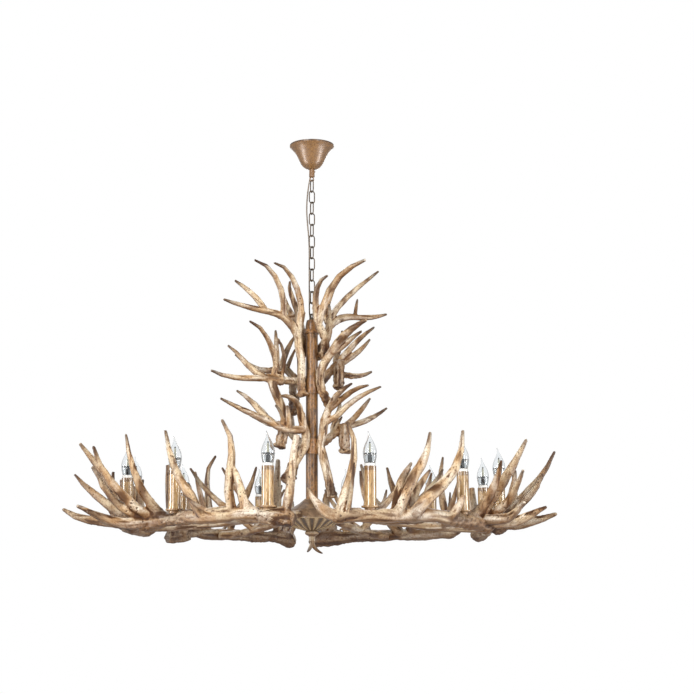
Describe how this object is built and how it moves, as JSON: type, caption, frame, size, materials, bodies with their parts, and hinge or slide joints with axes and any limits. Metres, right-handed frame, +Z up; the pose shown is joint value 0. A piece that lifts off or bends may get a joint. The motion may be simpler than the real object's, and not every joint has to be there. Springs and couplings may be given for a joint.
{
  "type": "antler chandelier",
  "caption": "Hanging chandelier of cast antlers with candle lamps on a ring, three crown tiers round a stem, and a chain with a bell canopy.",
  "frame": {"origin": "centre of the canopy's top rim, in the ceiling plane", "axes": "+Z up, out of the ceiling side; the picture looks along +Y from the -Y side"},
  "size_m": [1.1191, 1.0759, 1.0122],
  "materials": {
    "antler_resin": "cast resin, painted and antiqued antler finish",
    "canopy_paint": "satin golden-brown paint on steel",
    "zinc_steel": "zinc-plated",
    "chain_bronze": "dark bronze paint on welded steel",
    "stem_paint": "mottled bark-brown paint",
    "cup_resin": "dark brown painted resin",
    "sleeve_resin": "streaked antler-coloured resin",
    "socket_plastic": "white thermoplastic",
    "bulb_glass": "clear glass",
    "cord_sheath": "brown PVC sheath"
  },
  "bodies": {
    "ceiling_group": {"canopy": "canopy_paint", "ceiling_bracket": "zinc_steel", "threaded_nipple": "zinc_steel", "lock_nut": "zinc_steel", "canopy_loop": "canopy_paint", "loop_screw": "canopy_paint"},
    "first_link": {"chain_link_first": "chain_bronze"},
    "chain": {"chain_links": "chain_bronze", "supply_cord": "cord_sheath"},
    "last_link": {"chain_link_last": "chain_bronze"},
    "fixture": {"antler_lower_back_left": "antler_resin", "antler_lower_back_right": "antler_resin", "antler_lower_front_left": "antler_resin", "antler_lower_front_right": "antler_resin", "antler_middle_back_left": "antler_resin", "antler_middle_back_right": "antler_resin", "antler_middle_front_left": "antler_resin", "antler_middle_front_right": "antler_resin", "antler_ring_1": "antler_resin", "antler_ring_2": "antler_resin", "antler_ring_3": "antler_resin", "antler_ring_4": "antler_resin", "antler_ring_5": "antler_resin", "antler_ring_6": "antler_resin", "antler_spoke_1": "antler_resin", "antler_spoke_2": "antler_resin", "antler_spoke_3": "antler_resin", "antler_spoke_4": "antler_resin", "antler_spoke_5": "antler_resin", "antler_spoke_6": "antler_resin", "antler_upper_back_left": "antler_resin", "antler_upper_back_right": "antler_resin", "antler_upper_front_left": "antler_resin", "antler_upper_front_right": "antler_resin", "bowl_cover": "stem_paint", "candle_sleeves": "sleeve_resin", "central_rod": "zinc_steel", "drip_cups": "cup_resin", "finial": "antler_resin", "lamp_sockets": "socket_plastic", "lower_column": "stem_paint", "lower_ferrule": "stem_paint", "middle_column": "stem_paint", "middle_ferrule": "stem_paint", "stem_loop": "chain_bronze", "upper_column": "stem_paint", "upper_ferrule": "stem_paint", "wiring_bowl": "stem_paint"},
    "bulb_01": {"bulb_01": "bulb_glass"},
    "bulb_02": {"bulb_02": "bulb_glass"},
    "bulb_03": {"bulb_03": "bulb_glass"},
    "bulb_04": {"bulb_04": "bulb_glass"},
    "bulb_05": {"bulb_05": "bulb_glass"},
    "bulb_06": {"bulb_06": "bulb_glass"},
    "bulb_07": {"bulb_07": "bulb_glass"},
    "bulb_08": {"bulb_08": "bulb_glass"},
    "bulb_09": {"bulb_09": "bulb_glass"},
    "bulb_10": {"bulb_10": "bulb_glass"},
    "bulb_11": {"bulb_11": "bulb_glass"},
    "bulb_12": {"bulb_12": "bulb_glass"}
  },
  "joints": [
    {"name": "loop_to_first_link", "type": "hinge", "parent": "ceiling_group", "child": "first_link", "pos_m": [0, 0, -0.09171], "axis": [0.8829, 0.4695, 0], "range_deg": [-30, 30]},
    {"name": "first_link_to_chain", "type": "hinge", "parent": "first_link", "child": "chain", "pos_m": [0, 0, -0.12001], "axis": [-0.4695, 0.8829, 0], "range_deg": [-30, 30], "deforming": ["supply_cord"]},
    {"name": "chain_to_last_link", "type": "hinge", "parent": "chain", "child": "last_link", "pos_m": [0, 0, -0.40201], "axis": [-0.4695, 0.8829, 0], "range_deg": [-8, 8]},
    {"name": "last_link_to_stem", "type": "hinge", "parent": "last_link", "child": "fixture", "pos_m": [0, 0, -0.43021], "axis": [0.8829, 0.4695, 0], "range_deg": [-8, 8]},
    {"name": "bulb_01_out", "type": "slide", "parent": "fixture", "child": "bulb_01", "axis": [0, 0, 1], "range_m": [0, 0.03]},
    {"name": "bulb_02_out", "type": "slide", "parent": "fixture", "child": "bulb_02", "axis": [0, 0, 1], "range_m": [0, 0.03]},
    {"name": "bulb_03_out", "type": "slide", "parent": "fixture", "child": "bulb_03", "axis": [0, 0, 1], "range_m": [0, 0.03]},
    {"name": "bulb_04_out", "type": "slide", "parent": "fixture", "child": "bulb_04", "axis": [0, 0, 1], "range_m": [0, 0.03]},
    {"name": "bulb_05_out", "type": "slide", "parent": "fixture", "child": "bulb_05", "axis": [0, 0, 1], "range_m": [0, 0.03]},
    {"name": "bulb_06_out", "type": "slide", "parent": "fixture", "child": "bulb_06", "axis": [0, 0, 1], "range_m": [0, 0.03]},
    {"name": "bulb_07_out", "type": "slide", "parent": "fixture", "child": "bulb_07", "axis": [0, 0, 1], "range_m": [0, 0.03]},
    {"name": "bulb_08_out", "type": "slide", "parent": "fixture", "child": "bulb_08", "axis": [0, 0, 1], "range_m": [0, 0.03]},
    {"name": "bulb_09_out", "type": "slide", "parent": "fixture", "child": "bulb_09", "axis": [0, 0, 1], "range_m": [0, 0.03]},
    {"name": "bulb_10_out", "type": "slide", "parent": "fixture", "child": "bulb_10", "axis": [0, 0, 1], "range_m": [0, 0.03]},
    {"name": "bulb_11_out", "type": "slide", "parent": "fixture", "child": "bulb_11", "axis": [0, 0, 1], "range_m": [0, 0.03]},
    {"name": "bulb_12_out", "type": "slide", "parent": "fixture", "child": "bulb_12", "axis": [0, 0, 1], "range_m": [0, 0.03]}
  ]
}
